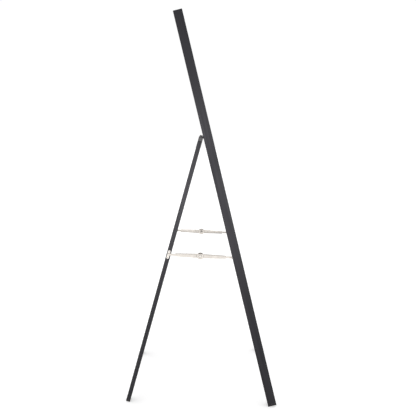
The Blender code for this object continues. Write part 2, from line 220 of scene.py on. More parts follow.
def painted_wood(name, seed, foot=False, dust_and_sheen_top=False):
    """Satin black brushed on softwood: streaks, grain, rubbed arrises, and scuffed feet or a top face
    lightened with dust and a painted sheen.
    """
    graph = Graph(name, seed)
    streaks = graph.noise((190, 190, 5), 4)
    clouds = graph.noise((7, 7, 2.2), 2)
    fibres = graph.noise((900, 900, 16), 3)
    rings = growth_rings(graph, seed)
    chips = graph.noise((150, 150, 60), 4, 0.6)
    colour = graph.mix(graph.remap(streaks, 0.3, 0.7), (0.0066, 0.0064, 0.0080), (0.0114, 0.0110, 0.0132))
    colour = graph.mix(graph.remap(clouds, 0.35, 0.7, 0.0, 0.5), colour, (0.0150, 0.0145, 0.0168))
    colour = graph.mix(graph.remap(rings, 0.6, 1.0, 0.0, 0.35), colour, (0.0058, 0.0058, 0.0066))
    rubbed = graph.math("MULTIPLY", graph.attribute("arris"), graph.remap(chips, 0.44, 0.60))
    if foot:
        scuffs = graph.noise((420, 420, 120), 4, 0.4)
        low = graph.attribute("foot")
        scuffed = graph.math("MULTIPLY", low, graph.remap(scuffs, 0.5, 0.68))
        rubbed = graph.math("MAXIMUM", rubbed, scuffed)
    colour = graph.mix(graph.remap(rubbed, 0.25, 0.75, 0.0, 0.7), colour, (0.075, 0.066, 0.059))
    # Painted sheen, with dust, on a top face: its mask lightens the paint towards (0.36, 0.355, 0.35)
    if dust_and_sheen_top:
        top_sheen_and_dust = graph.math("MULTIPLY", graph.attribute("foot"), graph.remap(chips, 0.2, 0.5, 0.45, 0.95))
        colour = graph.mix(top_sheen_and_dust, colour, (0.36, 0.355, 0.35))
    roughness = graph.remap(clouds, 0.3, 0.7, 0.40, 0.50)
    roughness = graph.math("ADD", roughness, graph.remap(streaks, 0.3, 0.7, -0.05, 0.06))
    roughness = graph.math("ADD", roughness, graph.remap(rubbed, 0.2, 0.8, 0.0, 0.22))
    normal = graph.bump(rings, 0.00012, 0.6)
    normal = graph.bump(fibres, 0.00005, 0.6, normal)
    normal = graph.bump(streaks, 0.00008, 0.7, normal)
    normal = graph.bump(rubbed, -0.00012, 0.6, normal)
    graph.shader.inputs["Specular Tint"].default_value = (0.95, 0.93, 1.0, 1.0)
    return graph.surface(colour, roughness, normal, specular_ior_level=0.235)


def end_grain(name, seed, worn):
    """A sawn end: paint sunk into open grain, greyer where worn."""
    graph = Graph(name, seed)
    rings = growth_rings(graph, seed)
    pores = graph.noise((1500, 1500, 300), 3)
    patches = graph.noise((60, 60, 60), 3)
    dark = [value * (1 + 3.4 * worn) for value in (0.030, 0.0295, 0.031)]
    light = [value * (1 + 4.6 * worn) for value in (0.042, 0.041, 0.041)]
    colour = graph.mix(graph.remap(pores, 0.35, 0.65), dark, light)
    colour = graph.mix(graph.remap(rings, 0.5, 1.0, 0.0, 0.55), colour, [value * 0.62 for value in dark])
    colour = graph.mix(graph.remap(patches, 0.5, 0.75, 0.0, 0.5), colour, (0.13, 0.115, 0.10))
    normal = graph.bump(rings, 0.00015, 0.7)
    normal = graph.bump(pores, 0.00008, 0.8, normal)
    return graph.surface(colour, graph.remap(patches, 0.3, 0.7, 0.62, 0.80), normal)


CHALK = (0.26, 0.265, 0.26)


def wipe_arcs(graph, centre, fine):
    """Streaks that follow arcs about centre, as an arm leaves with a cloth."""
    away = graph.node("ShaderNodeVectorMath", {0: graph.raw}, operation="SUBTRACT")
    away.inputs[1].default_value = centre
    reach = graph.node("ShaderNodeVectorMath", {0: away.outputs[0]}, operation="LENGTH").outputs["Value"]
    parts = graph.node("ShaderNodeSeparateXYZ", {0: away.outputs[0]})
    inputs = {
        "X": graph.math("MULTIPLY", reach, fine),
        "Y": graph.math("MULTIPLY", parts.outputs["X"], 2.6),
        "Z": graph.math("MULTIPLY", parts.outputs["Z"], 2.6),
    }
    joined = graph.node("ShaderNodeCombineXYZ", inputs).outputs[0]
    inputs = {"Vector": joined, "Scale": 1.0, "Detail": 5.0, "Roughness": 0.6, "Distortion": 0.25}
    return graph.node("ShaderNodeTexNoise", inputs).outputs[0]


def board_paint():
    """Writing surface: matt black with a chalk haze, the arcs of a cloth and a fine tooth."""
    graph = Graph("board_paint", 2.0)
    tooth = graph.noise((1400, 1400, 1400), 2)
    haze = graph.noise((3.2, 3.2, 2.4), 3, 0.4)
    patch = graph.noise((2.1, 2.1, 3.4), 2, 0.3)
    right = wipe_arcs(graph, (0.42, 0.0, -0.30), 34)
    left = wipe_arcs(graph, (-0.50, 0.0, -0.62), 26)
    colour = graph.mix(graph.remap(tooth, 0.3, 0.7), (0.0125, 0.0135, 0.0138), (0.0185, 0.0198, 0.0200))
    colour = graph.mix(graph.remap(haze, 0.3, 0.75, 0.0, 0.10), colour, CHALK)
    swept = graph.math("MULTIPLY", graph.remap(right, 0.42, 0.68), graph.remap(patch, 0.40, 0.62))
    colour = graph.mix(graph.math("MULTIPLY", swept, 0.085), colour, CHALK)
    swept = graph.math("MULTIPLY", graph.remap(left, 0.44, 0.70), graph.remap(patch, 0.56, 0.36))
    colour = graph.mix(graph.math("MULTIPLY", swept, 0.065), colour, CHALK)
    roughness = graph.remap(haze, 0.3, 0.7, 0.62, 0.78)
    return graph.surface(colour, roughness, graph.bump(tooth, 0.00004, 0.6), specular_ior_level=0.3)


def board_back():
    """The board's unlit side: hardboard under one rolled coat, with its pressed mesh showing through."""
    graph = Graph("board_back", 4.0)
    stipple = graph.noise((520, 520, 520), 2)
    blotch = graph.noise((9, 9, 9), 4, 0.5)
    mesh_lines = []
    for way in ("X", "Z"):
        inputs = {"Vector": graph.raw, "Scale": 120.0, "Distortion": 0.6, "Detail": 1.0}
        lines = graph.node("ShaderNodeTexWave", inputs, wave_type="BANDS", bands_direction=way)
        mesh_lines.append(lines.outputs["Fac"])
    pressed = graph.math("MULTIPLY", *mesh_lines)
    colour = graph.mix(graph.remap(blotch, 0.3, 0.7), (0.0115, 0.0112, 0.0118), (0.0205, 0.0198, 0.0198))
    colour = graph.mix(graph.remap(stipple, 0.62, 0.75, 0.0, 0.35), colour, (0.045, 0.038, 0.032))
    colour = graph.mix(graph.remap(pressed, 0.1, 0.6, 0.0, 0.25), colour, (0.007, 0.007, 0.007))
    normal = graph.bump(pressed, -0.00012, 0.6)
    normal = graph.bump(stipple, 0.00006, 0.6, normal)
    return graph.surface(colour, graph.remap(blotch, 0.3, 0.7, 0.55, 0.72), normal, specular_ior_level=0.3)


def band(graph, value, low, high, edge):
    """1 where value is between low and high, and 0 outside, over a soft edge."""
    return graph.math(
        "MULTIPLY", graph.remap(value, low - edge, low + edge), graph.remap(value, high + edge, high - edge)
    )


def hub_painted_shade(graph, length, up, end):
    """Painted shade round a stay's hub: darker in its channel's step, in a ring round the rivet and in the
    crescent under the lip.
    """
    flat = graph.node("ShaderNodeVectorMath", {0: graph.raw}, operation="MULTIPLY_ADD")
    flat.inputs[1].default_value = (1, 1, 0)
    flat.inputs[2].default_value = (-length, 0, 0)
    reach = graph.node("ShaderNodeVectorMath", {0: flat.outputs[0]}, operation="LENGTH").outputs["Value"]
    parts = graph.node("ShaderNodeSeparateXYZ", {0: flat.outputs[0]})
    off_axis = graph.math("ABSOLUTE", parts.outputs["Y"], 0.0)
    step = HUB_RADIUS[end] + 0.0008
    # Painted shade in the channel's step, at the left and right of the hub
    painted_shade = graph.math("MULTIPLY", band(graph, reach, step, step + 0.0016, 0.0007), 0.65)
    painted_shade = graph.math("MULTIPLY", painted_shade, graph.remap(off_axis, 0.0056, 0.0034))
    # Painted shade in a ring round the rivet head
    rivet_ring_shade = graph.math("MULTIPLY", band(graph, reach, 0.0054, 0.0066, 0.0004), 0.75)
    painted_shade = graph.math("MAXIMUM", painted_shade, rivet_ring_shade)
    # Painted shade in the crescent under the lip, in the hub's upper half
    above = graph.math("MULTIPLY", parts.outputs["Y"], up)
    low, high = CRESCENT_PAINTED_SHADE[end]
    crescent_shade = graph.math("MULTIPLY", graph.remap(above, 0.0080, 0.0104), band(graph, reach, low, high, 0.0003))
    return graph.math("MAXIMUM", painted_shade, crescent_shade)


def bore_painted_shade(graph, radius):
    """Painted shade inside a hollow rivet's bore, about its own Z axis."""
    flat = graph.node("ShaderNodeVectorMath", {0: graph.raw}, operation="MULTIPLY")
    flat.inputs[1].default_value = (1, 1, 0)
    reach = graph.node("ShaderNodeVectorMath", {0: flat.outputs[0]}, operation="LENGTH").outputs["Value"]
    return graph.remap(reach, radius, radius * 0.8)


def nickel(name, seed, tone=(0.735, 0.690, 0.640), roughness=(0.26, 0.38), hub=None, bore=None):
    """Bright nickel plate on pressed steel: polishing marks, a faint haze, and painted shade round a stay's
    hub and in a hollow rivet's bore.
    """
    graph = Graph(name, seed)
    haze = graph.noise((60, 60, 60), 3)
    lines = graph.noise((160, 2600, 2600), 2)
    spots = graph.noise((700, 700, 700), 3, 0.4)
    dull = [value * 0.92 for value in tone]
    stained = [value * 0.6 for value in tone]
    colour = graph.mix(graph.remap(haze, 0.35, 0.7), tone, dull)
    colour = graph.mix(graph.remap(spots, 0.68, 0.8, 0.0, 0.4), colour, stained)
    worn = graph.remap(haze, 0.3, 0.7, *roughness)
    worn = graph.math("ADD", worn, graph.remap(lines, 0.3, 0.7, -0.04, 0.05))
    # Painted shade: darker towards (0.07, 0.066, 0.062) and rougher, round an arm's hub and in a hollow
    # rivet's bore
    if hub or bore:
        where = hub_painted_shade(graph, *hub) if hub else bore_painted_shade(graph, bore)
        painted_shade = graph.math("MULTIPLY", where, graph.remap(haze, 0.2, 0.5, 0.7, 0.97))
        colour = graph.mix(painted_shade, colour, (0.07, 0.066, 0.062))
        worn = graph.math("ADD", worn, graph.math("MULTIPLY", painted_shade, 0.25))
    normal = graph.bump(lines, 0.00001, 0.5)
    normal = graph.bump(haze, 0.00004, 0.4, normal)
    return graph.surface(colour, worn, normal, metallic=1.0)


def dark_steel():
    """Hinge steel under a thin coat of the frame's paint, rubbed bright where the knuckles turn."""
    graph = Graph("hinge_steel", 5.0)
    haze = graph.noise((160, 160, 160), 4)
    rub = graph.noise((420, 900, 900), 3, 0.5)
    colour = graph.mix(graph.remap(haze, 0.3, 0.7), (0.050, 0.050, 0.053), (0.085, 0.084, 0.084))
    colour = graph.mix(graph.remap(rub, 0.58, 0.72, 0.0, 0.75), colour, (0.30, 0.29, 0.28))
    roughness = graph.remap(haze, 0.3, 0.7, 0.38, 0.55)
    return graph.surface(colour, roughness, graph.bump(rub, 0.00004, 0.5), metallic=0.85)


def bare_wood():
    """Beech dowel, where no paint reaches."""
    graph = Graph("bare_wood", 7.0)
    flecks = graph.noise((60, 900, 900), 3)
    bands = graph.noise((8, 160, 160), 3)
    colour = graph.mix(graph.remap(bands, 0.3, 0.7), (0.50, 0.33, 0.19), (0.60, 0.42, 0.26))
    colour = graph.mix(graph.remap(flecks, 0.55, 0.7, 0.0, 0.5), colour, (0.36, 0.22, 0.12))
    return graph.surface(colour, graph.remap(flecks, 0.3, 0.7, 0.55, 0.7), graph.bump(flecks, 0.00005, 0.5))


# Shapes


def smooth(value):
    value = max(0.0, min(1.0, value))
    return value * value * (3 - 2 * value)


def corners(node, axes):
    """A CAD node's lowest and highest corner in the given axes."""
    back = axes.inverted()
    points = [back @ vertex.co for vertex in NODES[node].data.vertices]
    low = Vector([min(point[i] for point in points) for i in range(3)])
    high = Vector([max(point[i] for point in points) for i in range(3)])
    return low, high


def face_centre(node, out):
    """The middle of a CAD node's end face in the direction out."""
    points = [vertex.co for vertex in NODES[node].data.vertices]
    far = max(point.dot(out) for point in points)
    rim = [point for point in points if point.dot(out) > far - 0.00002]
    return Vector([(min(p[i] for p in rim) + max(p[i] for p in rim)) / 2 for i in range(3)])


def piece(name, mesh, matrix, body, surfaces, nodes, slot):
    """A shown piece that stands for CAD nodes, rides on their body and takes the given surfaces; its slot
    decides whether the side lights reach it.
    """
    obj = bpy.data.objects.new(name, mesh)
    bpy.context.scene.collection.objects.link(obj)
    obj.matrix_world = matrix
    if not mesh.materials:
        for surface in surfaces:
            mesh.materials.append(surface)
    if slot in ("black_paint", "slate_paint"):
        timber_and_board.objects.link(obj)
    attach(obj, body)
    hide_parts(*nodes)
    return obj


def helper(mesh, matrix):
    """An object that only cuts or joins, and is removed afterwards."""
    obj = bpy.data.objects.new("helper", mesh)
    bpy.context.scene.collection.objects.link(obj)
    obj.matrix_world = matrix
    obj.hide_render = True
    return obj


def combine(obj, helpers, operation):
    """Cuts the helpers out of obj, or joins them to it, and keeps the result as its mesh."""
    for other in helpers:
        change = obj.modifiers.new(operation.lower(), "BOOLEAN")
        change.operation = operation
        change.solver = "EXACT"
        change.object = other
    bpy.context.view_layer.update()
    graph = bpy.context.evaluated_depsgraph_get()
    made = bpy.data.meshes.new_from_object(obj.evaluated_get(graph))
    obj.modifiers.clear()
    obj.data = made
    for other in helpers:
        bpy.data.objects.remove(other)


def shade(obj, angle=35, weighted=True):
    obj.data.shade_smooth()
    obj.data.set_sharp_from_angle(angle=math.radians(angle))
    if weighted:
        even = obj.modifiers.new("even_shading", "WEIGHTED_NORMAL")
        even.keep_sharp = True


def mesh_from(shape, name):
    mesh = bpy.data.meshes.new(name)
    bmesh.ops.recalc_face_normals(shape, faces=shape.faces)
    shape.to_mesh(mesh)
    shape.free()
    return mesh


def block(size):
    shape = bmesh.new()
    bmesh.ops.create_cube(shape, size=1.0)
    bmesh.ops.scale(shape, vec=size, verts=shape.verts)
    return shape


def turned_mesh(name, profile, steps=48):
    """A round solid about Z from (radius, height) points, from its top centre to its bottom centre."""
    shape = bmesh.new()
    points = [shape.verts.new((radius, 0, height)) for radius, height in profile]
    edges = [shape.edges.new(pair) for pair in zip(points, points[1:])]
    spin = {"cent": (0, 0, 0), "axis": (0, 0, 1), "angle": math.tau, "steps": steps, "use_duplicate": False}
    bmesh.ops.spin(shape, geom=points + edges, **spin)
    bmesh.ops.remove_doubles(shape, verts=shape.verts, dist=0.000002)
    return mesh_from(shape, name)


def loft(name, sections):
    """A closed skin over sections that have the same number of points, capped at both ends."""
    shape = bmesh.new()
    rings = [[shape.verts.new(point) for point in section] for section in sections]
    for near, far in zip(rings, rings[1:]):
        for i in range(len(near)):
            j = (i + 1) % len(near)
            shape.faces.new((near[i], near[j], far[j], far[i]))
    shape.faces.new(rings[0])
    shape.faces.new(rings[-1])
    return mesh_from(shape, name)


def towards(out):
    """A rotation whose Z points out."""
    return out.to_track_quat("Z", "Y").to_matrix().to_4x4()


def drill(radius, matrix, reach=0.004):
    """A helper that drills along a matrix's Z axis, by reach each way."""
    profile = [(0, reach), (radius, reach), (radius, -reach), (0, -reach)]
    return helper(turned_mesh("drill", profile, 32), matrix)


def countersink(node, out):
    """A helper that sinks the hole for a CAD screw, whose head faces out."""
    mouth, shank = 0.00335, 0.0017
    profile = [(0, 0.002), (mouth, 0.002), (mouth, -0.0004), (shank, -0.0021), (shank, -0.004), (0, -0.004)]
    return helper(turned_mesh("sink", profile, 32), Matrix.Translation(face_centre(node, out)) @ towards(out))


def pocket_for(node):
    """A helper a hair larger than a CAD node, to make room for it in the timber."""
    shape = bmesh.new()
    shape.from_mesh(NODES[node].data)
    bmesh.ops.remove_doubles(shape, verts=shape.verts, dist=0.000005)
    bmesh.ops.recalc_face_normals(shape, faces=shape.faces)
    shape.normal_update()
    for vertex in shape.verts:
        vertex.co += vertex.normal * vertex.calc_shell_factor() * POCKET_GAP
    return helper(mesh_from(shape, "pocket"), Matrix())


def hinge_gain(node, axes):
    """A helper for the channel that a hinge's knuckles and pin turn in."""
    low, high = corners(node, axes)
    pin = axes.inverted() @ Vector((0, *JOINTS["rear_frame_fold"]["pos_m"][1:]))
    across = 2 * (high.z - pin.z) + 4 * POCKET_GAP
    shape = block(Vector((high.x - low.x + 3 * POCKET_GAP, across, across)))
    return helper(mesh_from(shape, "gain"), axes @ Matrix.Translation(((low.x + high.x) / 2, pin.y, pin.z)))


# Timber


def timber_mesh(name, size, seed, feet, dust_and_sheen_top):
    """Planed timber along Z: eased arrises, a planer's slight wave, dents, and worn feet."""
    shape = block(size)
    bmesh.ops.bevel(
        shape, geom=shape.edges[:], offset=ARRIS, offset_type="OFFSET", segments=ARRIS_SEGMENTS,
        profile=0.5, affect="EDGES"
    )
    half = size / 2
    for axis, spacing in ((0, half.x / 1.5), (1, half.y / 1.5), (2, RING_SPACING)):
        count = max(2, round(size[axis] / spacing))
        along = Vector([i == axis for i in range(3)])
        for i in range(1, count):
            place = along * (size[axis] * i / count - half[axis])
            geom = shape.verts[:] + shape.edges[:] + shape.faces[:]
            bmesh.ops.bisect_plane(shape, geom=geom, dist=0.00001, plane_co=place, plane_no=along)
    arris = shape.verts.layers.float.new("arris")
    foot = shape.verts.layers.float.new("foot")
    shape.normal_update()
    offset = Vector((3.1, 1.7, 2.3)) * seed
    moves = []
    for vertex in shape.verts:
        depths = sorted(half[i] - abs(vertex.co[i]) for i in range(3))
        edge = smooth(1 - depths[1] / ARRIS)
        low = smooth(1 - (vertex.co.z + half.z) / FOOT_WEAR_HEIGHT) if feet else 0.0
        # On such a top rail the foot mask marks the top face instead, for dust and a painted sheen
        if dust_and_sheen_top:
            low = 1.0 if vertex.co.x < ARRIS / 2 - half.x else 0.0
        wave = 0.5 + 0.5 * noise.noise(vertex.co * 9 + offset)
        dent = max(0.0, noise.noise(vertex.co * 55 + offset) - 0.15)
        depth = PLANING_WAVE * wave + edge * (ARRIS_DENT * dent + FOOT_WEAR * low * feet * (0.35 + dent))
        vertex[arris] = edge
        vertex[foot] = low
        moves.append((vertex, -vertex.normal * depth))
    for vertex, move in moves:
        vertex.co += move
    for face in shape.faces:
        flat_end = abs(face.calc_center_median().z) > half.z - ARRIS / 2
        face.material_index = 1 if flat_end and abs(face.normal.z) > 0.5 else 0
    return mesh_from(shape, name)


def timber(node, axes, body, grain, seed, pockets, feet=False, worn_end=0.15, dust_and_sheen_top=False, span=None):
    """Replaces a CAD member with planed, painted timber in the same place."""
    low, high = span or corners(node, axes)
    size = high - low
    turn = ALONG_X if grain == "X" else Matrix()
    if grain == "X":
        size = Vector((size.z, size.y, size.x))
    mesh = timber_mesh(node, size, seed, feet, dust_and_sheen_top)
    paint = painted_wood(f"black_paint_{node}", seed, feet, dust_and_sheen_top)
    surfaces = [paint, end_grain(f"end_{node}", seed, worn_end)]
    matrix = axes @ Matrix.Translation((low + high) / 2) @ turn
    made = piece(f"{node}_timber", mesh, matrix, body, surfaces, [node], "black_paint")
    if pockets:
        cutters = [pocket_for(other) for other in pockets]
        cutters += [hinge_gain(other, axes) for other in pockets if "leaf" in other]
        combine(made, cutters, "DIFFERENCE")
    shade(made)
    return made


def front_timber():
    dowels = [f"{rail}_dowel_{{}}" for rail in ("top_rail", "board_rail", "hinge_rail", "lower_stretcher")]
    for seed, word in enumerate(SIDES, 1):
        screws = [f"stile_plate_{word}_screw_{number}" for number in (1, 2)]
        held = ["board_panel", *[name.format(word) for name in dowels], *screws]
        timber(f"stile_{word}", FRONT_AXES, "front_frame", "Z", seed, held, feet=True)
    for seed, rail in enumerate(("top_rail", "board_rail", "hinge_rail", "lower_stretcher"), 3):
        held = [f"{rail}_dowel_{word}" for word in SIDES]
        if rail in ("top_rail", "board_rail"):
            held.append("board_panel")
        if rail == "hinge_rail":
            held += [f"hinge_fixed_leaf_{word}" for word in SIDES]
            held += [f"hinge_fixed_screw_{word}_{number}" for word in SIDES for number in (1, 2)]
        timber(rail, FRONT_AXES, "front_frame", "X", seed, held)


def rear_timber():
    for seed, word in enumerate(SIDES, 7):
        screws = [f"leg_plate_{word}_screw_{number}" for number in (1, 2)]
        held = ["rear_lower_rail", f"cap_screw_{word}", *screws]
        timber(f"rear_leg_{word}", REAR_AXES, "rear_frame", "Z", seed, held, feet=True)
    held = [f"hinge_moving_leaf_{word}" for word in SIDES]
    held += [f"hinge_moving_screw_{word}_{number}" for word in SIDES for number in (1, 2)]
    held += [f"cap_screw_{word}" for word in SIDES]
    # The rail's top face is lightened with dust and a painted sheen
    timber("rear_top_rail", REAR_AXES, "rear_frame", "X", 9, held, worn_end=0.38, dust_and_sheen_top=True)
    lower_rail()


def lower_rail():
    """The rear frame's lower rail, which stops at its shoulders, and the tenons beyond them."""
    low, high = corners("rear_lower_rail", REAR_AXES)
    legs = [corners(f"rear_leg_{word}", REAR_AXES) for word in SIDES]
    shoulder = 0.0003
    rail_low = Vector((legs[0][1].x + shoulder, low.y, low.z))
    rail_high = Vector((legs[1][0].x - shoulder, high.y, high.z))
    rail = timber("rear_lower_rail", REAR_AXES, "rear_frame", "X", 10, [], span=(rail_low, rail_high))
    thickness = (high.y - low.y) / 2
    height = high.z - low.z - thickness
    shape = block(Vector((height, thickness, high.x - low.x)))
    tenons = helper(mesh_from(shape, "tenons"), rail.matrix_world)
    rail.modifiers.clear()
    combine(rail, [tenons], "UNION")
    shade(rail)


def board():
    low, high = corners("board_panel", FRONT_AXES)
    size = high - low
    shape = block(size)
    bmesh.ops.bevel(shape, geom=shape.edges[:], offset=0.0004, segments=2, profile=0.5, affect="EDGES")
    matrix = FRONT_AXES @ Matrix.Translation((low + high) / 2)
    shape.normal_update()
    for face in shape.faces:
        face.material_index = 1 if face.normal.y > 0.5 else 0
    mesh = mesh_from(shape, "writing_board")
    surfaces = [board_paint(), board_back()]
    made = piece("writing_board", mesh, matrix, "front_frame", surfaces, ["board_panel"], "slate_paint")
    shade(made)


# Folding stays


def arm_stations(end, length):
    """(distance from the pivot, half width, share of pressed channel) along an arm, tip to tip."""
    radius = HUB_RADIUS[end]
    nose = length - NOSE_FROM_HUB
    join = math.asin(HUB_END_HALF_WIDTH / radius)
    body_end = length - radius * math.cos(join)
    stations = []
    tip_end = math.asin(TONGUE_HALF_WIDTH / ARM_END_RADIUS)
    for i in range(9):
        turn = math.pi - (math.pi - tip_end) * i / 8
        if math.sin(turn) * ARM_END_RADIUS >= TONGUE_HALF_WIDTH or turn > math.pi / 2:
            width = max(LEAST_HALF_WIDTH, ARM_END_RADIUS * math.sin(turn))
            stations.append((ARM_END_RADIUS * math.cos(turn), width, 0.0))
    tongue = ARM_END_RADIUS * 0.75
    for i in range(1, 6):
        stations.append((tongue + (nose - tongue) * i / 5, TONGUE_HALF_WIDTH, 0.0))
    for i in range(1, 9):
        share = i / 8
        width = TONGUE_HALF_WIDTH + (NOSE_HALF_WIDTH - TONGUE_HALF_WIDTH) * math.sin(share * math.pi / 2)
        stations.append((nose + NOSE_LENGTH * share**1.6, width, smooth(share)))
    start = nose + NOSE_LENGTH
    for i in range(1, 25):
        share = i / 24
        width = NOSE_HALF_WIDTH + (HUB_END_HALF_WIDTH - NOSE_HALF_WIDTH) * share
        x = start + (body_end - start) * share
        stations.append((x, width, smooth((length - radius - x) / 0.004 + 0.5)))
    for i in range(1, 17):
        turn = (math.pi - join) * (1 - i / 16)
        width = max(LEAST_HALF_WIDTH, radius * math.sin(turn))
        stations.append((length + radius * math.cos(turn), width, 0.0))
    return stations


def arm_section(x, width, channel, flat):
    """One cross-section of an arm: a channel with sloping sides where channel is 1, and flat sheet at 0."""
    out_side = (
        (0.0, -0.0010, 0.15), (0.0, -0.0006, 0.80), (0.0004, -0.0003, 1.0),
        (0.0030, 0.0007, 1.0), (0.0042, 0.0010, 1.0),
    )
    in_side = ((0.0055, -0.0001, 0.0), (0.0040, -0.0003, 0.0), (0.0013, -0.0009, 0.0), (0.0008, -0.0010, 0.0))
    inner, outer = flat
    points = []
    for margin, pressed, share in (*out_side, *in_side):
        y = width - margin * min(1.0, width / 0.0072)
        z = channel * pressed + (1 - channel) * (inner + (outer - inner) * share)
        points.append((x, y, z))
    outs, ins = points[: len(out_side)], points[len(out_side):]
    mirrored = [(x, -y, z) for x, y, z in reversed(outs)]
    return outs + mirrored + [(x, -y, z) for x, y, z in reversed(ins)] + ins


def crescent(length, up):
    """The cutter for the groove pressed into the rear arm's hub, above the front arm's round end."""
    near, far = CRESCENT_RADII
    surface = HUB_SHEET["rear"][1]
    sections = []
    steps = 20
    for i in range(steps + 1):
        share = i / steps
        turn = up * (CRESCENT_ANGLES[0] + (CRESCENT_ANGLES[1] - CRESCENT_ANGLES[0]) * share)
        ends = 1 - abs(2 * share - 1) ** 3
        middle, half = (near + far) / 2, (far - near) / 2 * (0.25 + 0.75 * ends)
        floor = surface - CRESCENT_DEPTH * (0.15 + 0.85 * ends)
        outline = (
            (middle - half, surface + 0.0005), (middle - half, surface), (middle - half * 0.6, floor),
            (middle + half * 0.6, floor), (middle + half, surface), (middle + half, surface + 0.0005),
        )
        sections.append([(length + r * math.cos(turn), r * math.sin(turn), z) for r, z in outline])
    return loft("crescent", sections)


def arm(end, word):
    """One arm of a stay: tongue, rounded nose, pressed channel and dished hub."""
    side = SIDES[word]
    node = f"stay_{end}_arm_{word}"
    pivot = Vector(JOINTS[f"stay_{end}_pivot_{word}"]["pos_m"])
    low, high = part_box(f"stay_{end}_hub_rivet_{word}")
    hub = (low + high) / 2
    low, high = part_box(node)
    pivot.x = hub.x = (low.x + high.x) / 2
    out = Vector((side, 0, 0))
    along = (hub - pivot).normalized()
    across = out.cross(along)
    matrix = Matrix.Translation(pivot) @ Matrix((along, across, out)).transposed().to_4x4()
    length = (hub - pivot).length
    up = math.copysign(1, across.z)
    # This arm's nickel has painted shade round its hub
    surface = nickel(f"nickel_{end}_{word}", 11.0 + side + 0.3 * len(end), hub=(length, up, end))
    tongue = (-0.0003, 0.0010) if end == "front" else (-0.0010, 0.0003)
    sections = []
    for x, width, channel in arm_stations(end, length):
        flat = tongue if x < length / 2 else HUB_SHEET[end]
        sections.append(arm_section(x, width, channel, flat))
    mesh = loft(node, sections)
    made = piece(f"{node}_plate", mesh, matrix, f"stay_{end}_{word}", [surface], [node], "nickel_plate")
    holes = [drill(PIVOT_HOLE, matrix), drill(HUB_HOLE, matrix @ Matrix.Translation((length, 0, 0)))]
    combine(made, holes, "DIFFERENCE")
    if end == "rear":
        combine(made, [helper(crescent(length, up), matrix)], "DIFFERENCE")
    shade(made, 28)


def rivet(node, body, out, surface, hollow=False):
    """A domed rivet head on its shank, or the rolled, hollow tail of one, outwards from its CAD node."""
    points = [vertex.co for vertex in NODES[node].data.vertices]
    top = face_centre(node, out)
    foot = face_centre(node, -out)
    height = (top - foot).length
    axis = (top + foot) / 2
    head_radius = max((point - axis).cross(out).length for point in points)
    head_height = 0.0011
    shank = head_radius * 0.55
    grip = height - head_height
    if hollow:
        bore, crest = shank * 0.62, head_radius * 0.62
        roll = [
            (crest + (head_radius - crest) * math.sin(t), grip + head_height * math.cos(t))
            for t in [math.pi / 2 * i / 6 for i in range(7)]
        ]
        profile = [(0, grip * 0.2), (bore, grip * 0.2), (bore, grip + 0.0004), *roll]
    else:
        turns = [math.pi / 2 * i / 9 for i in range(10)]
        dome = head_height * 0.8
        profile = [(head_radius * math.sin(t), height - dome + dome * math.cos(t)) for t in turns]
    profile += [(head_radius * 0.98, grip), (shank, grip), (shank, 0), (0, 0)]
    profile[0] = (0, profile[0][1])
    mesh = turned_mesh(node, profile)
    matrix = Matrix.Translation(foot) @ towards(out)
    if hollow:
        # A hollow rivet's nickel has painted shade in its bore
        surface = nickel(f"nickel_{node}", 3.0, bore=head_radius * 0.56)
    made = piece(f"{node}_turned", mesh, matrix, body, [surface], [node], "nickel_plate")
    shade(made, 40, weighted=False)


SCREW_MESHES = {}


def screw_mesh(length, radius):
    """A countersunk screw with a cross recess, its head at the origin."""
    key = (round(length, 4), round(radius, 4))
    if key in SCREW_MESHES:
        return SCREW_MESHES[key]
    shank = radius * 0.47
    profile = [
        (0, 0.00002), (radius * 0.55, 0.00002), (radius * 0.93, 0.0), (radius, -0.00015), (radius, -0.0003),
        (shank, -0.0003 - (radius - shank)), (shank, -length + 2.2 * shank), (0, -length),
    ]
    driver = []
    for turn in (0, math.pi / 2):
        shape = block(Vector((radius * 1.15, radius * 0.24, 0.0032)))
        for vertex in shape.verts:
            if vertex.co.z < 0:
                vertex.co.x *= 0.45
                vertex.co.y *= 0.6
        driver.append(helper(mesh_from(shape, "driver"), Matrix.Rotation(turn + 0.35, 4, "Z")))
    body = helper(turned_mesh("screw", profile, 32), Matrix())
    combine(body, driver, "DIFFERENCE")
    mesh = body.data
    mesh.shade_smooth()
    mesh.set_sharp_from_angle(angle=math.radians(35))
    bpy.data.objects.remove(body)
    SCREW_MESHES[key] = mesh
    return mesh


def screw(node, body, out, surface, slot, turn):
    """Replaces a CAD screw with one whose recess is turned by its own amount."""
    head = face_centre(node, out)
    tip = min(vertex.co.dot(out) for vertex in NODES[node].data.vertices)
    rim = [v.co for v in NODES[node].data.vertices if v.co.dot(out) > head.dot(out) - 0.00002]
    radius = max((point - head).length for point in rim)
    mesh = screw_mesh(head.dot(out) - tip, radius)
    matrix = Matrix.Translation(head) @ towards(out) @ Matrix.Rotation(turn, 4, "Z")
    piece(f"{node}_driven", mesh, matrix, body, [surface], [node], slot)


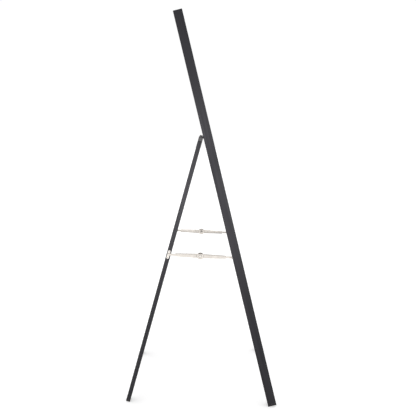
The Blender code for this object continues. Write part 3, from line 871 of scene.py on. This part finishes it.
def mounting_plate(node, body, axes, out, surface):
    """An obround plate with eased edges, a rivet hole and countersunk screw holes."""
    low, high = corners(node, axes)
    centre = axes @ ((low + high) / 2)
    width, length, thickness = high.y - low.y, high.z - low.z, high.x - low.x
    straight = (length - width) / 2
    outline = []
    for middle, start in ((straight, 0.0), (-straight, math.pi)):
        for i in range(17):
            turn = start + math.pi * i / 16
            outline.append((width / 2 * math.cos(turn), middle + width / 2 * math.sin(turn)))
    eased = 0.0003
    half = thickness / 2
    levels = ((eased, -half), (0, -half + eased), (0, half - eased), (eased, half))
    sections = []
    for margin, z in levels:
        shrink_x, shrink_y = 1 - 2 * margin / width, 1 - 2 * margin / length
        sections.append([(x * shrink_x, y * shrink_y, z) for x, y in outline])
    along = axes.to_3x3() @ Vector((0, 0, 1))
    matrix = Matrix.Translation(centre) @ Matrix((along.cross(out), along, out)).transposed().to_4x4()
    made = piece(f"{node}_pressed", loft(node, sections), matrix, body, [surface], [node], "nickel_plate")
    holes = [drill(PLATE_HOLE, matrix)]
    holes += [countersink(f"{node}_screw_{number}", out) for number in (1, 2)]
    combine(made, holes, "DIFFERENCE")
    shade(made, 30)


def stays():
    plate_nickel = nickel("nickel_plates", 2.0, (0.84, 0.80, 0.75), (0.20, 0.32))
    rivet_nickel = nickel("nickel_rivets", 3.0, (0.80, 0.76, 0.71), (0.18, 0.28))
    screw_nickel = nickel("nickel_screws", 4.0, (0.84, 0.81, 0.77), (0.22, 0.34))
    turn = 0.0
    for word, side in SIDES.items():
        outward = Vector((side, 0, 0))
        for end, timber_word, body, axes, way in (
            ("front", "stile", "front_frame", FRONT_AXES, -outward),
            ("rear", "leg", "rear_frame", REAR_AXES, outward),
        ):
            arm(end, word)
            plate = f"{timber_word}_plate_{word}"
            mounting_plate(plate, body, axes, way, plate_nickel)
            rivet(f"{timber_word}_rivet_{word}", body, way, rivet_nickel)
            for number in (1, 2):
                turn += 0.9
                screw(f"{plate}_screw_{number}", body, way, screw_nickel, "nickel_plate", turn)
        rivet(f"stay_front_hub_rivet_{word}", f"stay_front_{word}", outward, rivet_nickel)
        rivet(f"stay_rear_hub_rivet_{word}", f"stay_rear_{word}", -outward, rivet_nickel, hollow=True)


# Hinges


def leaf(kind, word, body, axes, way, first, steel):
    """A hinge leaf: a plate with rounded corners whose knuckles curl round the pin."""
    node = f"hinge_{kind}_leaf_{word}"
    low, high = corners(node, axes)
    pin = axes.inverted() @ Vector((0, *JOINTS["rear_frame_fold"]["pos_m"][1:]))
    knuckle_radius = high.z - pin.z
    length = high.x - low.x
    x = (low.x + high.x) / 2
    face = pin.y + way * LEAF_FACE
    back = pin.y + way * LEAF_BACK
    height = pin.z - low.z
    shape = block(Vector((length, abs(back - face), height)))
    upright = [e for e in shape.edges if abs(e.verts[0].co.y - e.verts[1].co.y) > 0.0001]
    lower = [e for e in upright if e.verts[0].co.z < 0]
    bmesh.ops.bevel(shape, geom=lower, offset=LEAF_CORNER, segments=6, profile=0.5, affect="EDGES")
    place = Matrix.Translation((x, (face + back) / 2, pin.z - height / 2))
    matrix = axes
    shape.transform(place)
    made = piece(f"{node}_curled", mesh_from(shape, node), matrix, body, [steel], [node], "hinge_steel")
    pitch = length / KNUCKLES
    tubes = []
    gaps = []
    for i in range(KNUCKLES):
        middle = low.x + pitch * (i + 0.5)
        mine = i % 2 == first
        half = pitch / 2 - 0.00015 if mine else pitch / 2 + 0.0002
        radius = knuckle_radius if mine else knuckle_radius + 0.0003
        eased = 0.0003 if mine else 0.0
        profile = [(0, half), (radius - eased, half), (radius, half - eased), (radius, -half + eased)]
        profile += [(radius - eased, -half), (0, -half)]
        about = matrix @ Matrix.Translation((middle, pin.y, pin.z)) @ ALONG_X
        (tubes if mine else gaps).append(helper(turned_mesh("tube", profile, 40), about))
    combine(made, tubes, "UNION")
    gaps.append(drill(PIN_BORE, matrix @ Matrix.Translation((x, pin.y, pin.z)) @ ALONG_X, length))
    out = axes.to_3x3() @ Vector((0, -way, 0))
    gaps += [countersink(f"hinge_{kind}_screw_{word}_{number}", out) for number in (1, 2)]
    combine(made, gaps, "DIFFERENCE")
    shade(made, 30)


def hinge_pin(word, steel):
    """A straight pin with domed ends."""
    node = f"hinge_pin_{word}"
    low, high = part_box(node)
    half = (high.x - low.x) / 2
    radius = (high.z - low.z) / 2
    crown = 0.0005
    turns = [math.pi / 2 * i / 5 for i in range(6)]
    dome = [(radius * math.sin(t), half - crown + crown * math.cos(t)) for t in turns]
    profile = dome + [(r, -z) for r, z in reversed(dome)]
    matrix = Matrix.Translation((low + high) / 2) @ ALONG_X
    mesh = turned_mesh(node, profile, 32)
    made = piece(f"{node}_turned", mesh, matrix, "front_frame", [steel], [node], "hinge_steel")
    shade(made, 40, weighted=False)


def hinges():
    steel = dark_steel()
    turn = 0.4
    for word in SIDES:
        hinge_pin(word, steel)
        for kind, body, axes, way, first in (
            ("fixed", "front_frame", FRONT_AXES, -1, 0),
            ("moving", "rear_frame", REAR_AXES, 1, 1),
        ):
            leaf(kind, word, body, axes, way, first, steel)
            out = axes.to_3x3() @ Vector((0, -way, 0))
            for number in (1, 2):
                turn += 1.1
                screw(f"hinge_{kind}_screw_{word}_{number}", body, out, steel, "hinge_steel", turn)
        up = REAR_AXES.to_3x3() @ Vector((0, 0, 1))
        screw(f"cap_screw_{word}", "rear_frame", up, steel, "black_paint", turn)


def dowels():
    """The dowels stay as they are: no view reaches them."""
    wood = bare_wood()
    for name, node in NODES.items():
        if "dowel" in name:
            node.data.materials.clear()
            node.data.materials.append(wood)


# Studio


def camera():
    data = bpy.data.cameras.new("camera")
    data.lens = CAMERA_LENS
    data.clip_start, data.clip_end = 0.05, 60
    made = bpy.data.objects.new("camera", data)
    bpy.context.scene.collection.objects.link(made)
    level = math.cos(CAMERA_PITCH)
    look = Vector((math.cos(CAMERA_YAW) * level, math.sin(CAMERA_YAW) * level, math.sin(CAMERA_PITCH)))
    turn = look.to_track_quat("-Z", "Y").to_matrix().to_4x4() @ Matrix.Rotation(CAMERA_ROLL, 4, "Z")
    made.matrix_world = Matrix.Translation(CAMERA_PLACE) @ turn
    bpy.context.scene.camera = made


def softbox(name, place, target, size, power):
    """A rectangular light at place, aimed at target, that the camera doesn't see."""
    data = bpy.data.lights.new(name, "AREA")
    data.shape = "RECTANGLE"
    data.size, data.size_y = size
    data.energy = power
    made = bpy.data.objects.new(name, data)
    bpy.context.scene.collection.objects.link(made)
    made.location = place
    made.rotation_euler = (Vector(target) - Vector(place)).to_track_quat("-Z", "Y").to_euler()
    made.visible_camera = False
    return made


def studio():
    """A pale sweep: white to the horizon, a soft light at each side for the timber, and soft top light."""
    world = bpy.data.worlds.new("studio")
    bpy.context.scene.world = world
    world.use_nodes = True
    tree = world.node_tree
    background = tree.nodes["Background"]
    direction = tree.nodes.new("ShaderNodeTexCoord").outputs["Generated"]
    height = tree.nodes.new("ShaderNodeSeparateXYZ")
    tree.links.new(direction, height.inputs[0])
    fall = tree.nodes.new("ShaderNodeMapRange")
    fall.interpolation_type = "SMOOTHSTEP"
    tree.links.new(height.outputs["Z"], fall.inputs["Value"])
    reach = {"From Min": 0.25, "From Max": 0.95, "To Min": WALL_LIGHT, "To Max": CEILING_LIGHT}
    for name, value in reach.items():
        fall.inputs[name].default_value = value
    tree.links.new(fall.outputs[0], background.inputs["Strength"])
    background.inputs["Color"].default_value = (1, 1, 1, 1)
    bpy.context.scene.view_settings.view_transform = "Standard"
    middle = (cad_low + cad_high) / 2
    for name, side in (("key", 1), ("fill", -1)):
        place, target = [(side * x, y, z) for x, y, z in (KEY_PLACE, KEY_TARGET)]
        light = softbox(name, place, target, KEY_SIZE, KEY_POWER)
        light.light_linking.receiver_collection = timber_and_board
    data = bpy.data.lights.new("overhead", "SUN")
    data.energy = OVERHEAD_STRENGTH
    data.angle = math.radians(80)
    overhead = bpy.data.objects.new("overhead", data)
    bpy.context.scene.collection.objects.link(overhead)
    overhead.visible_glossy = False
    floor = bpy.data.meshes.new("floor")
    shape = bmesh.new()
    bmesh.ops.create_grid(shape, x_segments=4, y_segments=4, size=30)
    shape.to_mesh(floor)
    shape.free()
    ground = bpy.data.objects.new("floor", floor)
    bpy.context.scene.collection.objects.link(ground)
    ground.location = (middle.x, middle.y, cad_low.z)
    graph = Graph("floor")
    patches = graph.noise((1.5, 1.5, 1.5), 2)
    colour = graph.mix(patches, (0.93, 0.93, 0.93), (0.95, 0.95, 0.95))
    bumps = graph.bump(patches, 0.001, 0.1)
    floor.materials.append(graph.surface(colour, 0.9, bumps, emission_strength=FLOOR_GLOW))
    graph.shader.inputs["Emission Color"].default_value = (1, 1, 1, 1)


camera()
studio()
front_timber()
rear_timber()
board()
stays()
hinges()
dowels()
